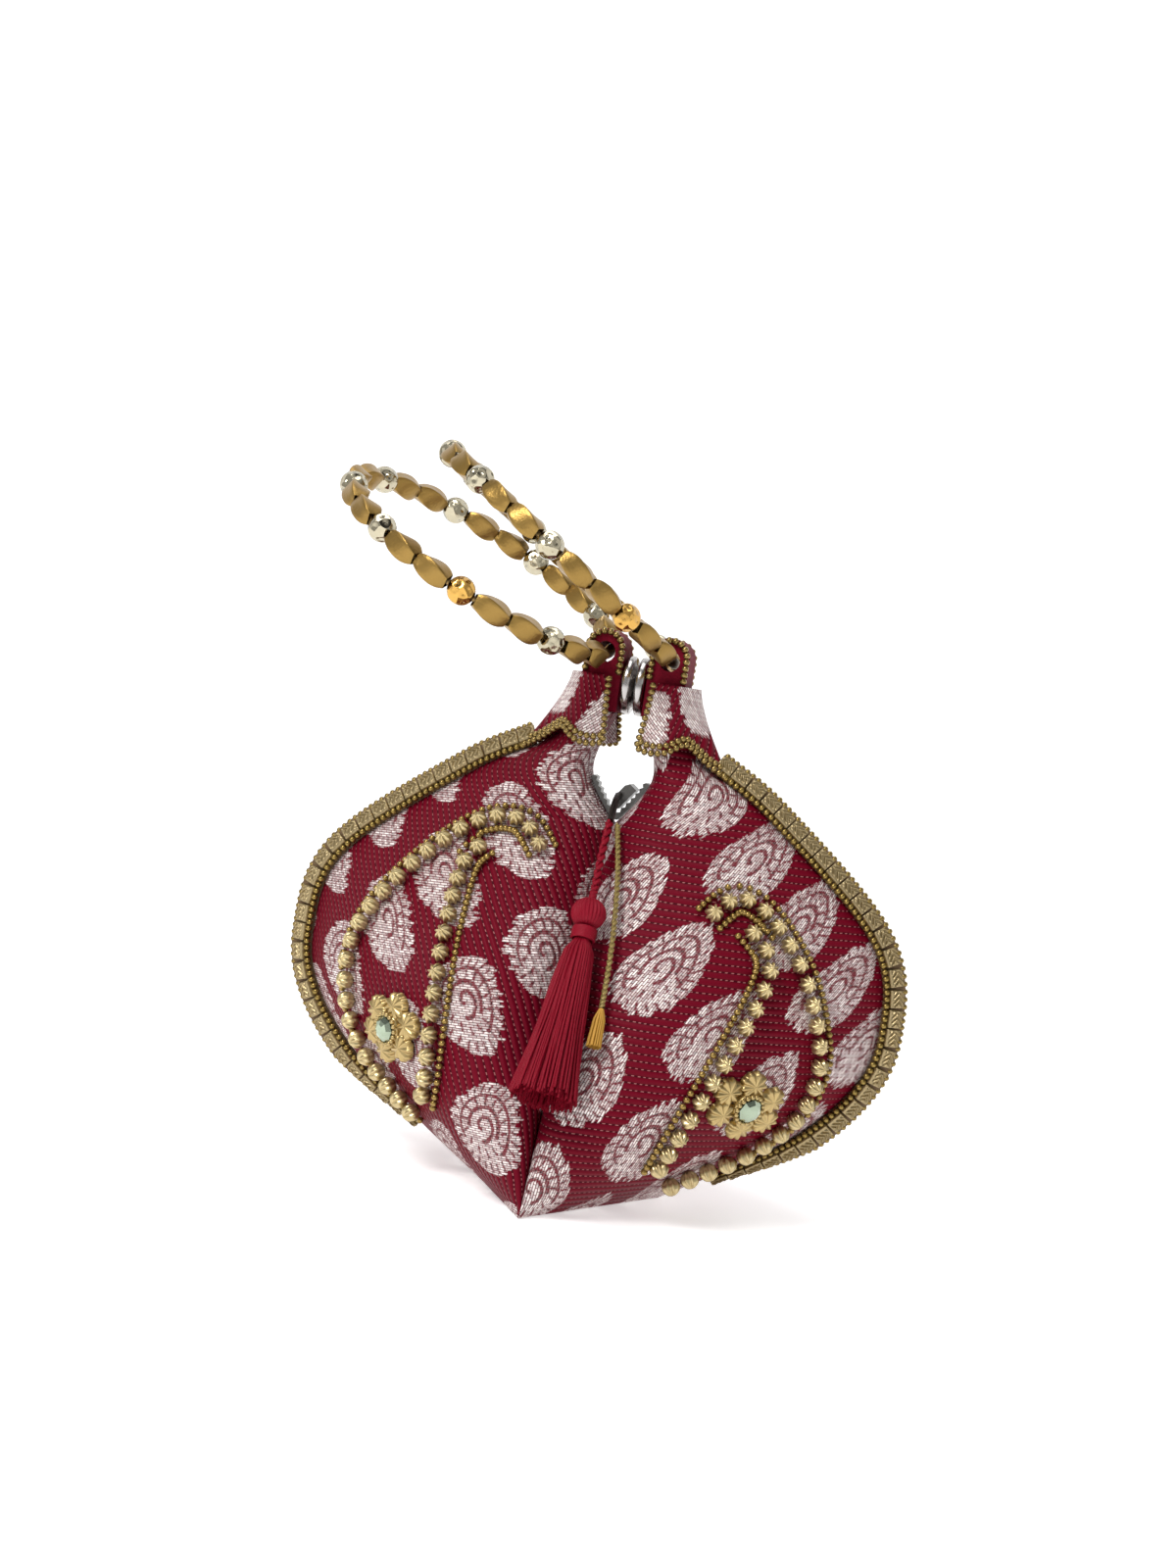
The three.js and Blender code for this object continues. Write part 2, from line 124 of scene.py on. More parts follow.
# Stage, in metres and watts. Lamps: name, place, power, size.
FLOOR_HALF, FLOOR_FRONT, FLOOR_DROP, SWEEP_R, WALL_TOP = 12, -9, 0.0005, 1.2, 4.0
FLOOR_GLOW, ROOM_GLOW = 0.48, 0.5
LAMPS = (
    ("key", (-0.42, -0.8, 0.95), 10.0, 0.4),
    ("fill", (0.9, -0.7, 0.5), 0.4, 0.6),
    ("top", (-0.15, 0.05, 1.2), 3.5, 0.6),
)
LAMP_AIM, EYE_AIM, EYE_RANGE = (0, 0, 0.1), (0, 0, 0.085), 0.65
EYE_SHIFT = (-13 / 1600, 130 / 1600)


def spline(points, steps=60):
    """Uniform Catmull-Rom curve through the points, ends doubled."""
    p = np.asarray(points, float)
    t = np.linspace(0, 1, steps, endpoint=False)[:, None]
    rows = []
    for i in range(len(p) - 1):
        a, b, c, d = p[max(i - 1, 0)], p[i], p[i + 1], p[min(i + 2, len(p) - 1)]
        m, n = (c - a) / 2, (d - b) / 2
        rows.append((2 * b - 2 * c + m + n) * t**3 + (-3 * b + 3 * c - 2 * m - n) * t**2 + m * t + b)
    return np.vstack(rows + [p[-1:]])


def by_height(points):
    """Function that reads the first number of the pairs at a height, along the curve through them."""
    c = spline(points)
    return lambda z: np.interp(z, c[:, 1], c[:, 0])


seam_x, puff, notch = by_height(SEAM), by_height(PUFF), by_height(NOTCH)


def inner_x(z):
    """Half width between the lobes: none up to the top of the crease, then the notch under the necks."""
    return np.where(z <= CREASE_TOP, 0.0, notch(np.maximum(z, CREASE_TOP)))


def inner_y(z):
    """Half depth at the crease, which falls evenly from the tip at the base to the top of the crease."""
    return CREASE_DEPTH + TIP_DEPTH * np.clip(1 - z / CREASE_TOP, 0, 1)


def swell(u):
    """Puff from crease to seam: the root of u times a power of what is left, scaled to a peak of one."""
    return u**0.5 * (1 - u) ** 0.9 / SWELL_PEAK


def depth(x, z):
    """Half depth of the pouch: crease depth fading to the seam plus a puff that is steep at the crease."""
    a = inner_x(z)
    u = np.clip((np.abs(x) - a) / (seam_x(z) - a), 0, 1)
    return inner_y(z) * (1 - u) + puff(z) * swell(u)


def face_frames(x, z, lift):
    """Points and frames (level, rise, out) on the front face at x, z, from differences of its depth."""
    x, z = np.asarray(x, float), np.asarray(z, float)
    o = np.zeros_like(x)
    here = np.stack([x, -depth(x, z), z], -1)
    level = np.stack([o + 2, -depth(x + 1, z) + depth(x - 1, z), o], -1)
    up = np.stack([o, -depth(x, z + 1) + depth(x, z - 1), o + 2], -1)
    out = unit(np.cross(level, up))
    level = unit(level)
    return here + out * lift, np.stack([level, np.cross(out, level), out], -1)


def unit(v):
    """Vectors divided by their lengths."""
    return v / np.linalg.norm(v, axis=-1, keepdims=True)


def walk(points, pitch):
    """Evenly spaced points along a polyline, with their tangents."""
    p = np.asarray(points, float)
    s = np.concatenate([[0], np.cumsum(np.linalg.norm(np.diff(p, axis=0), axis=1))])
    n = max(2, int(round(s[-1] / pitch)))
    at = (np.arange(n) + 0.5) / n * s[-1]

    def pick(a):
        return np.stack([np.interp(a, s, p[:, k]) for k in range(p.shape[1])], -1)

    return pick(at), unit(pick(at + 0.3) - pick(at - 0.3))


def quads(n, m, wrap=False):
    """Quads of an n by m grid of points, with each row joined round where asked."""
    i, j = np.meshgrid(np.arange(n - 1), np.arange(m if wrap else m - 1), indexing="ij")
    beside = (j + 1) % m
    above = (i + 1) * m
    return np.stack([i * m + j, i * m + beside, above + beside, above + j], -1).reshape(-1, 4)


def mesh(name, points, faces, body, material, slot, replaced=(), smooth=True):
    """Puts points in millimetres and quads into a new piece, which rides on a body."""
    data = bpy.data.meshes.new(name)
    data.from_pydata((np.asarray(points).reshape(-1, 3) * MM).tolist(), [], np.asarray(faces).tolist())
    data.polygons.foreach_set("use_smooth", np.full(len(data.polygons), smooth))
    data.materials.append(material)
    data.update()
    piece = bpy.data.objects.new(name, data)
    bpy.context.scene.collection.objects.link(piece)
    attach(piece, body)
    if replaced:
        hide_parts(*replaced)
    return piece


def recoat(name, material):
    """Gives a solid of the frame its finish."""
    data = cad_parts[name].data
    data.materials.clear()
    data.materials.append(material)


def copies(points, faces, places, frames):
    """One template set down at every place, turned by its frame."""
    all_points = np.einsum("nij,kj->nki", frames, points) + places[:, None]
    step = (np.arange(len(places)) * len(points))[:, None, None]
    return all_points.reshape(-1, 3), (faces[None] + step).reshape(-1, 4)


def merged(parts):
    """Several point and face pairs as one."""
    points, faces, start = [], [], 0
    for p, f in parts:
        p = np.asarray(p).reshape(-1, 3)
        points.append(p)
        faces.append(np.asarray(f) + start)
        start += len(p)
    return np.vstack(points), np.vstack(faces)


def ball(r, n, m, flutes=0, cut=0.0, squash=1.0, swirl=0.0):
    """Sphere of radius r about its z axis, with swirling flutes cut in by a cosine round it."""
    a = np.linspace(0, 2 * np.pi, n, endpoint=False)[None]
    b = np.linspace(0.02, np.pi - 0.02, m)[:, None]
    k = r * (1 - cut * np.sin(b) ** 0.7 * (0.5 - 0.5 * np.cos(flutes * a + swirl * b)))
    x, y = k * np.sin(b) * np.cos(a), k * np.sin(b) * np.sin(a)
    points = np.stack([x, y, k * squash * np.cos(b) + 0 * a], -1)
    return points.reshape(-1, 3), quads(m, n, wrap=True)[:, ::-1]


def seed_bead(context):
    """Radius, points and faces of a seed bead: a ball pressed flat along its bore."""
    r = context.scene.bag_beads.seed / MM / 2
    return r, *ball(r, 8, 6, squash=SEED_SQUASH)


def lathe(profile, n):
    """Profile of radius and height pairs turned about z."""
    p = np.asarray(profile, float)
    a = np.linspace(0, 2 * np.pi, n, endpoint=False)
    points = np.stack([p[:, :1] * np.cos(a), p[:, :1] * np.sin(a), p[:, 1:] + 0 * a], -1)
    return points.reshape(-1, 3), quads(len(p), n, wrap=True)


def tubes(paths, radius, sides):
    """Round tubes along many paths at once: a circle carried along each path, square to its tangent."""
    p = np.asarray(paths, float)
    t = unit(np.gradient(p, axis=1))
    ref = np.where(np.abs(t[..., 2:]) > 0.9, [1.0, 0, 0], [0, 0, 1.0])
    x = unit(np.cross(t, ref))
    y = np.cross(t, x)
    a = np.linspace(0, 2 * np.pi, sides, endpoint=False)[:, None]
    points = p[:, :, None] + radius * (np.cos(a) * x[:, :, None] + np.sin(a) * y[:, :, None])
    faces = quads(p.shape[1], sides, wrap=True)
    step = np.arange(len(p))[:, None, None] * p.shape[1] * sides
    return points.reshape(-1, 3), (faces[None] + step).reshape(-1, 4)


def twisted(line, off, thick, lay):
    """Two plies of radius thick wound about a line at off from it, one turn in each lay of its length."""
    length = np.linalg.norm(np.diff(line, axis=0), axis=1).sum()
    t = unit(np.gradient(line, axis=0))
    x = unit(np.cross(t, [1.0, 0, 0]))
    y = np.cross(t, x)
    fine = np.linspace(0, len(line) - 1, PLY_STEPS)
    rows = np.arange(len(line))

    def pick(v):
        return np.stack([np.interp(fine, rows, v[:, k]) for k in range(3)], -1)

    c, x, y = pick(line), pick(x), pick(y)
    a = np.linspace(0, 2 * np.pi * length / lay, PLY_STEPS)[:, None]
    plies = [c + off * (np.cos(a + k) * x + np.sin(a + k) * y) for k in (0, np.pi)]
    return tubes(np.array(plies), thick, 7)


def coat(name, color, rough, metal=0.0, shine=0.5, grain=()):
    """Even surface; grain is the scale, strength and depth in metres of its bumps, and their texture."""
    material = bpy.data.materials.new(name)
    material.use_nodes = True
    shader = material.node_tree.nodes["Principled BSDF"]
    shader.inputs["Base Color"].default_value = (*color, 1)
    for key, value in (("Roughness", rough), ("Metallic", metal), ("Specular IOR Level", shine)):
        shader.inputs[key].default_value = value
    if grain:
        roughen(material.node_tree, *grain)
    return material


def roughen(tree, scale, strength, distance, kind="ShaderNodeTexNoise"):
    """Bump from a noise or cell texture in object space."""
    where = tree.nodes.new("ShaderNodeTexCoord")
    texture = tree.nodes.new(kind)
    texture.inputs["Scale"].default_value = scale
    bump = tree.nodes.new("ShaderNodeBump")
    bump.inputs["Strength"].default_value = strength
    bump.inputs["Distance"].default_value = distance
    tree.links.new(where.outputs["Object"], texture.inputs["Vector"])
    tree.links.new(texture.outputs[0], bump.inputs["Height"])
    tree.links.new(bump.outputs["Normal"], tree.nodes["Principled BSDF"].inputs["Normal"])


def brocade(name, lie, colors):
    """Crimson satin with stitched grooves across the turned UV map, with painted shade darkening the bottom
    of each groove, and rows of silver thread laid over the grooves where the silver attribute is set."""
    material = coat(name, TAB_RED, 0.5, shine=CLOTH_SHINE)
    nodes, links = material.node_tree.nodes, material.node_tree.links
    shader = nodes["Principled BSDF"]
    uv = nodes.new("ShaderNodeUVMap")
    turn = nodes.new("ShaderNodeMapping")
    turn.inputs["Rotation"].default_value[2] = lie
    turn.inputs["Scale"].default_value = (1 / MM, 1 / MM, 1 / MM)
    links.new(uv.outputs["UV"], turn.inputs["Vector"])

    def bands(direction, pitch, wander):
        wave = nodes.new("ShaderNodeTexWave")
        wave.bands_direction = direction
        wave.inputs["Scale"].default_value = math.pi / 10 / pitch
        wave.inputs["Distortion"].default_value = wander
        links.new(turn.outputs["Vector"], wave.inputs["Vector"])
        return wave.outputs["Fac"]

    def combined(kind, first, second):
        node = nodes.new("ShaderNodeMath")
        node.operation = kind
        links.new(first, node.inputs[0])
        if isinstance(second, float):
            node.inputs[1].default_value = second
        else:
            links.new(second, node.inputs[1])
        return node.outputs[0]

    def mixed(amount, under, color):
        node = nodes.new("ShaderNodeMix")
        node.data_type = "RGBA"
        node.inputs[7].default_value = (*color, 1)
        links.new(amount, node.inputs[0])
        links.new(under, node.inputs[6])
        return node.outputs[2]

    rib = bands("X", RIB_PITCH, 0.7)
    # Painted shade: the ramp darkens the satin to the groove shade red where the rib wave is low, at the
    # bottom of each groove.
    satin = nodes.new("ShaderNodeValToRGB")
    satin.color_ramp.elements[0].color = (*GROOVE_SHADE_RED, 1)
    satin.color_ramp.elements[1].color = (*colors.satin, 1)
    satin.color_ramp.elements[1].position = 0.3
    links.new(rib, satin.inputs["Fac"])
    groove = combined("LESS_THAN", rib, 0.045)
    stitch = combined("MULTIPLY", groove, combined("GREATER_THAN", bands("Y", STITCH_PITCH, 4.0), 0.6))
    ground = mixed(stitch, satin.outputs["Color"], (0.3, 0.1, 0.1))
    rows = nodes.new("ShaderNodeTexBrick")
    for key, grey in (("Color1", 1), ("Color2", 0.42), ("Mortar", 0.02)):
        rows.inputs[key].default_value = (grey, grey, grey, 1)
    for key, value in (
        ("Scale", 1.0),
        ("Brick Width", THREAD_ROW * 3.2),
        ("Row Height", THREAD_ROW),
        ("Mortar Size", THREAD_ROW * 0.19),
        ("Mortar Smooth", 0.5),
    ):
        rows.inputs[key].default_value = value
    links.new(turn.outputs["Vector"], rows.inputs["Vector"])
    silver = nodes.new("ShaderNodeAttribute")
    silver.attribute_name = "silver"
    thread = combined("MULTIPLY", silver.outputs["Fac"], rows.outputs["Color"])
    links.new(mixed(thread, ground, colors.silver), shader.inputs["Base Color"])
    links.new(combined("MULTIPLY", thread, 0.2), shader.inputs["Metallic"])
    bump = nodes.new("ShaderNodeBump")
    bump.inputs["Strength"].default_value = 0.6
    bump.inputs["Distance"].default_value = 0.0006
    links.new(combined("ADD", rib, thread), bump.inputs["Height"])
    links.new(bump.outputs["Normal"], shader.inputs["Normal"])
    return material


def paisley_mask(u, v, turn, bend, along_u):
    """Half-drop repeat of a plump leaf with a bent tip: level sets of an ellipse whose spine bends as a
    square and whose width falls towards the tip. Each row of thread is shifted along itself by a fixed
    scatter, which frays the edge. Arcs open at the foot, slanted barbs even in angle about the middle, and
    a curl whose level rises with the angle are left nearly bare."""

    def leaf(a, b):
        column = np.floor(a / LEAF_WIDE)
        p = (a / LEAF_WIDE - column - 0.5) * LEAF_WIDE
        q = ((b + LEAF_DROP * (column % 2)) / LEAF_HIGH % 1 - 0.5) * LEAF_HIGH
        c, s = math.cos(turn), math.sin(turn)
        p, q = c * p - s * q, (s * p + c * q) / LEAF_LONG
        side = (p - bend * (q + 0.1) ** 2) / (LEAF_HALF - LEAF_TAPER * q)
        return np.hypot(side, q), q, np.arctan2(side, q)

    row = np.floor((v if along_u else u) / THREAD_ROW)
    shift = FRAY * (np.sin(row * 12.9898) * 43758.5453 % 1 - 0.5)
    edge = leaf(u + shift, v)[0] if along_u else leaf(u, v + shift)[0]
    level, q, angle = leaf(u, v)
    bare = np.abs(level - CURL_LEVEL - CURL_RISE * np.sign(bend) * angle) < CURL_HALF
    for middle, half, foot in LEAF_ARCS:
        bare |= (np.abs(level - middle) < half) & (q > foot)
    for count, slant, gap, low, high in LEAF_BARBS:
        bare |= (np.abs(np.sin(count * angle + slant * level)) < gap) & (level > low) & (level < high)
    return (edge < LEAF_EDGE) * np.where(bare, BARE, 1.0)


def weave(piece, across, up, mask):
    """Lays the woven pattern and a UV map in metres on a grid piece."""
    data = piece.data.attributes.new("silver", "FLOAT", "POINT")
    data.data.foreach_set("value", np.asarray(mask).ravel().astype(np.float32))
    layer = piece.data.uv_layers.new(name="UVMap")
    index = np.zeros(len(piece.data.loops), int)
    piece.data.loops.foreach_get("vertex_index", index)
    flat = np.stack([np.ravel(across), np.ravel(up)], -1)[index] * MM
    layer.data.foreach_set("uv", flat.ravel())


def lobe_panel(side, back, n, m):
    """Panel of one lobe: level slices from the crease to the seam, with the pouch's depth and two crossed
    sine ripples, closed to the middle at base and top. Also gives the cloth's own widths and heights."""
    z = np.linspace(0, LOBE_TOP, m)[:, None]
    u = (np.linspace(0, 1, n) ** SLICE_POWER)[None]
    a = inner_x(z)
    x = a + (seam_x(z) - a) * u
    puffed = puff(z) * swell(u)
    lie = np.clip(puff(z) / FULL_PUFF, 0, 1) * np.sin(np.pi * u)
    ripple = 0.6 * np.sin(z / 9.5 + 3 * u + side) + 0.5 * np.sin(x / 7.5 - z / 19)
    y = inner_y(z) * (1 - u) + puffed + lie * ripple
    grid = np.stack([side * x, (1 if back else -1) * y, z + 0 * x], -1)
    wall = np.stack([side * a, 0 * a, z], -1)
    grid = np.concatenate([wall, grid], 1)
    low = np.tile([[[side * BASE_MIDDLE, 0, 0]]], (1, n + 1, 1))
    top = np.tile([[[side * TOP_MIDDLE, 0, LOBE_TOP]]], (1, n + 1, 1))
    grid = np.concatenate([low, grid, top], 0)
    steps = np.linalg.norm(np.diff(grid, axis=1), axis=2)
    across = np.concatenate([np.zeros((m + 2, 1)), np.cumsum(steps, 1)], 1)
    up = np.linspace(0, CLOTH_HEIGHT, m + 2)[:, None] + 0 * across
    faces = quads(m + 2, n + 1)
    if (side > 0) == back:
        faces = faces[:, ::-1]
    return grid, faces, across, up


def trim_frames(side, pitch, out, tilt=0.0):
    """Stations along the seam from just above the base to under the collar, moved out from it, slimmed near
    the base, and with their frames tilted to face outwards."""
    c = spline(SEAM)
    c = c[(c[:, 1] >= TRIM_LOW) & (c[:, 1] <= TRIM_TOP)]
    p, t = walk(c, pitch)
    away = np.stack([t[:, 1], -t[:, 0]], -1)
    slim = 0.3 + 0.7 * np.clip((p[:, 1:] - TRIM_LOW) / 20, 0, 1)
    p = p + away * out * slim
    zero = np.zeros(len(p))
    place = np.stack([side * p[:, 0], zero, p[:, 1]], -1)
    along = np.stack([side * t[:, 0], zero, t[:, 1]], -1)
    across = np.stack([side * away[:, 0], zero, away[:, 1]], -1)
    front = np.stack([zero, zero - 1, zero], -1)
    c, s = math.cos(tilt), math.sin(tilt)
    return place, np.stack([along, (across * c - front * s) * slim, front * c + across * s], -1)


def ring_frames(side, along):
    """Places and frames (radial, third, tangent) at arc lengths from the hinge on a ring, which is a circle
    through its hinge that leans from level and is tilted about the way it reaches."""
    x, lean, tilt = HANDLES[side]
    lean, tilt = math.radians(lean), math.radians(tilt)
    axis = np.array([0, math.cos(tilt), math.sin(tilt)])
    reach = np.array([-math.cos(lean), 0, math.sin(lean)])
    reach = unit(reach - axis * (reach @ axis))
    basis = np.stack([reach, axis, np.cross(reach, axis)], -1)
    a = np.asarray(along) / RING_R
    o = np.zeros_like(a)
    place = np.stack([RING_R - RING_R * np.cos(a), RING_R * np.sin(a), o], -1)
    tangent = np.stack([np.sin(a), np.cos(a), o], -1)
    radial = np.stack([-np.cos(a), np.sin(a), o], -1)
    frames = np.stack([radial, np.cross(tangent, radial), tangent], -1)
    return place @ basis.T + [x, 0, HINGE_Z], np.einsum("ij,njk->nik", basis, frames)


def hanging_frame(along, level):
    """Columns of a frame whose last one runs along a hanging piece and whose first is square to level."""
    along = unit(np.asarray(along))
    side = unit(np.cross(along, level))
    return np.stack([side, np.cross(along, side), along], -1)


def place_matrix(x, y, z, spot):
    """Matrix with three axes as its columns and a place as its last."""
    m = np.eye(4)
    m[:3, 0], m[:3, 1], m[:3, 2], m[:3, 3] = x, y, z, spot
    return Matrix(m.tolist())


class ClothSettings(bpy.types.PropertyGroup):
    """Sizes and colours of the brocade and the tassel."""

    fineness: bpy.props.IntProperty(
        name="Fineness", description="Grid steps across a lobe", default=215, min=40
    )
    motif_turn: bpy.props.FloatProperty(
        name="Motif turn", description="Lean of the woven leaves", default=-0.2, unit="ROTATION"
    )
    motif_bend: bpy.props.FloatProperty(
        name="Motif bend", description="How far a leaf's ends bend out", default=0.0032, unit="LENGTH"
    )
    satin: bpy.props.FloatVectorProperty(
        name="Satin",
        description="Colour of the ground",
        default=(0.135, 0.0012, 0.011),
        subtype="COLOR",
    )
    silver: bpy.props.FloatVectorProperty(
        name="Silver",
        description="Colour of the woven leaves",
        default=(0.95, 0.88, 0.85),
        subtype="COLOR",
    )
    thread: bpy.props.FloatVectorProperty(
        name="Thread",
        description="Colour of the tassel",
        default=(0.22, 0.0025, 0.014),
        subtype="COLOR",
    )


class BeadSettings(bpy.types.PropertyGroup):
    """Sizes and colours of the beads."""

    seed: bpy.props.FloatProperty(
        name="Seed bead", description="Diameter of a seed bead", default=0.0023, unit="LENGTH"
    )
    melon: bpy.props.FloatProperty(
        name="Melon bead", description="Diameter of a large fluted bead", default=0.0058, unit="LENGTH"
    )
    oval: bpy.props.FloatProperty(
        name="Oval bead", description="Length of a four-sided handle bead", default=0.0111, unit="LENGTH"
    )
    melon_gold: bpy.props.FloatVectorProperty(
        name="Melon gold",
        description="Colour of the fluted beads",
        default=(0.56, 0.45, 0.24),
        subtype="COLOR",
    )
    oval_gold: bpy.props.FloatVectorProperty(
        name="Oval gold",
        description="Colour of the handle beads",
        default=(0.3, 0.185, 0.05),
        subtype="COLOR",
    )


class StageSettings(bpy.types.PropertyGroup):
    """Camera of the picture."""

    lens: bpy.props.FloatProperty(
        name="Lens", description="Focal length in millimetres", default=48.26, unit="CAMERA"
    )
    azimuth: bpy.props.FloatProperty(
        name="Azimuth", description="Turn round the bag", default=math.radians(9.5), unit="ROTATION"
    )
    elevation: bpy.props.FloatProperty(
        name="Elevation", description="Angle above level", default=math.radians(6.0), unit="ROTATION"
    )
    roll: bpy.props.FloatProperty(
        name="Roll", description="Turn about the line of sight", default=math.radians(9.0), unit="ROTATION"
    )


class BAG_OT_cloth(bpy.types.Operator):
    """Puffed brocade lobes, front and back"""

    bl_idname = "bag.cloth"
    bl_label = "Cloth"

    def execute(self, context):
        cloth = context.scene.bag_cloth
        bend = cloth.motif_bend / MM
        for side, word, lie in ((-1, "left", 0.1), (1, "right", math.pi / 2)):
            material = brocade(f"{word} brocade", lie, cloth)
            for back in (False, True):
                n = cloth.fineness * 3 // 4 if back else cloth.fineness
                grid, faces, across, up = lobe_panel(side, back, n, int(n * 1.9))
                name = f"{word}_{'back' if back else 'front'}_panel"
                piece = mesh(name, grid, faces, "bag", material, "brocade", ("bag_body",))
                start, rise = 7 + 5 * side, 9 * side
                mask = paisley_mask(across + start, up + rise, cloth.motif_turn, side * bend, side < 0)
                weave(piece, across, up, mask)
        return {"FINISHED"}


class BAG_OT_trim(bpy.types.Operator):
    """Cast plates, backing band and seed beads along both edge seams"""

    bl_idname = "bag.trim"
    bl_label = "Edge trim"

    def execute(self, context):
        gold = coat("antique gold plate", (0.33, 0.255, 0.135), 0.34, 0.9, grain=(900.0, 0.3, 0.0004))
        band = coat("trim band", (0.12, 0.07, 0.03), 0.7)
        seeds = coat("dark gold seed bead", (0.26, 0.18, 0.05), 0.25, 0.85)
        plate, plate_faces = self.plate()
        r, seed, seed_faces = seed_bead(context)
        for side, word in ((-1, "left"), (1, "right")):
            place, turn = trim_frames(side, PLATE_PITCH, PLATE_OUT, TRIM_TILT)
            points, faces = copies(plate, plate_faces if side > 0 else plate_faces[:, ::-1], place, turn)
            mesh(f"{word}_plates", points, faces, "bag", gold, "cast_trim", (f"{word}_edge_trim",))
            place, turn = trim_frames(side, BAND_PITCH, BAND_OUT)
            strip = np.einsum("nij,kj->nki", turn, np.array(BAND_SECTION)) + place[:, None]
            mesh(f"{word}_band", strip, quads(len(place), 4, wrap=True), "bag", band, "brocade")
            rows = []
            for out, y in TRIM_SEEDS:
                place, turn = trim_frames(side, SEED_STEP * r, out)
                rows.append(copies(seed[:, [2, 0, 1]], seed_faces, place + [0, y, 0], turn))
            mesh(f"{word}_trim_seeds", *merged(rows), "bag", seeds, "gold_bead")
        return {"FINISHED"}

    def plate(self):
        """Crowned plate with a braid of bent cosine ridges, a raised lip along one edge and rims turned
        down."""
        n, m = PLATE_GRID
        s, w = np.meshgrid(np.linspace(-1, 1, n), np.linspace(-1, 1, m), indexing="ij")
        edge = np.maximum(np.abs(s), np.abs(w))
        braid = np.cos(11 * (s + np.abs(w - 0.15))) * np.clip((0.85 - edge) / 0.1, 0, 1)
        lip = np.clip((-0.5 - w) / 0.1, 0, 1)
        high = 1.8 + 0.4 * braid * (1 - lip) + 0.25 * lip - 0.5 * w**2
        high = np.where(edge > 0.97, 0.3, high)
        return np.stack([2.8 * s, 2.4 * w, high], -1).reshape(-1, 3), quads(n, m)


class BAG_OT_motifs(bpy.types.Operator):
    """Fluted beads, seed outlines, flowers and stones on the front"""

    bl_idname = "bag.motifs"
    bl_label = "Bead motifs"

    def execute(self, context):
        beads = context.scene.bag_beads
        gold = coat("melon bead gold", beads.melon_gold, 0.3, 0.9, grain=(700.0, 0.15, 0.0003))
        seeds = coat("motif seed bead", (0.3, 0.2, 0.06), 0.25, 0.8)
        cast = coat("flower gold", (0.46, 0.34, 0.15), 0.3, 0.9)
        glass = coat("iridescent stone", (0.36, 0.43, 0.32), 0.04, 0.85)
        r = beads.melon / MM / 2
        melon = ball(r, 40, 15, flutes=8, cut=0.34, squash=0.95, swirl=1.2)
        small, *seed = seed_bead(context)
        for word, rows in (("left", LEFT_ROWS), ("right", RIGHT_ROWS)):
            large, fine = [], []
            for i, row in enumerate(rows):
                flat = spline(row)
                line = np.stack([flat[:, 0], -depth(flat[:, 0], flat[:, 1]), flat[:, 1]], -1)
                place, t = walk(line, MELON_PITCH)
                spot, base = face_frames(place[:, 0], place[:, 2], r * MELON_LIFT)
                out = base[..., 2]
                large.append(copies(*melon, spot, np.stack([t, np.cross(out, t), out], -1)))
                hand = 1 if (word == "right") == (i == 0) else -1
                place, t = walk(line, SEED_STEP * small)
                spot, base = face_frames(place[:, 0], place[:, 2], small * SEED_LIFT)
                off = unit(np.cross(base[..., 2], t)) * hand * (r + small + SEED_GAP)
                hook = slice(0, len(t) // 5 if i == 0 else 4)
                shifted = np.concatenate([spot + off, (spot - off)[hook]])
                t = np.concatenate([t, t[hook]])
                spot, base = face_frames(shifted[:, 0], shifted[:, 2], small * SEED_LIFT)
                out = base[..., 2]
                fine.append(copies(*seed, spot, np.stack([out, np.cross(t, out), t], -1)))
            row_nodes = (f"{word}_bead_row_1", f"{word}_bead_row_2")
            mesh(f"{word}_melon_beads", *merged(large), "bag", gold, "gold_bead", row_nodes)
            mesh(f"{word}_motif_seeds", *merged(fine), "bag", seeds, "gold_bead")
            self.flower(word, cast, glass)
        return {"FINISHED"}

    def flower(self, word, cast, glass):
        """Cupped petals, fluted by a cosine that also scallops their rims, round a turned ring with a row of
        dots, and a faceted stone in the middle."""
        x, z = FLOWERS[word]
        around, outward = 72, 10
        a, b = np.meshgrid(np.linspace(0, 2 * np.pi, around, endpoint=False), np.linspace(0, 1, outward))
        wave = np.cos(PETAL_FLUTES * a)
        rim = 1 + 0.07 * wave
        high = 2.3 - 0.9 * b**2 + 0.4 * wave * b - 1.6 * np.clip(b - 0.88, 0, 1) / 0.12
        petal = np.stack([4.5 * b * rim * np.cos(a), 4.2 * b * rim * np.sin(a), high], -1).reshape(-1, 3)
        turns = np.arange(PETALS) * 2 * np.pi / PETALS + PETAL_TURN
        spot, base = face_frames(x + PETAL_RING * np.cos(turns), z + PETAL_RING * np.sin(turns), 0.4)
        parts = [copies(petal, quads(outward, around, wrap=True), spot, base)]
        spot, base = face_frames([x], [z], 0.5)
        ring = lathe([(5, 0), (5, 1.6), (4.4, 2.3), (3.6, 2.0), (0.1, 1.6)], 40)
        parts.append(copies(*ring, spot, base))
        a = np.linspace(0, 2 * np.pi, STONE_BEADS, endpoint=False)
        dots = np.stack([STONE_RING * np.cos(a), STONE_RING * np.sin(a), 0 * a + 2.5], -1)
        dots = dots @ base[0].T + spot[0]
        parts.append(copies(*ball(0.8, 8, 6), dots, np.repeat(base, STONE_BEADS, 0)))
        mesh(f"{word}_cast_flower", *merged(parts), "bag", cast, "cast_trim", (f"{word}_flower",))
        stone = lathe([(3.4, 2.2), (3.9, 3.0), (2.8, 4.2), (1.6, 4.7), (0.02, 4.8)], 8)
        points, faces = copies(*stone, spot, base)
        mesh(f"{word}_cut_stone", points, faces, "bag", glass, "stone", (f"{word}_stone",), smooth=False)


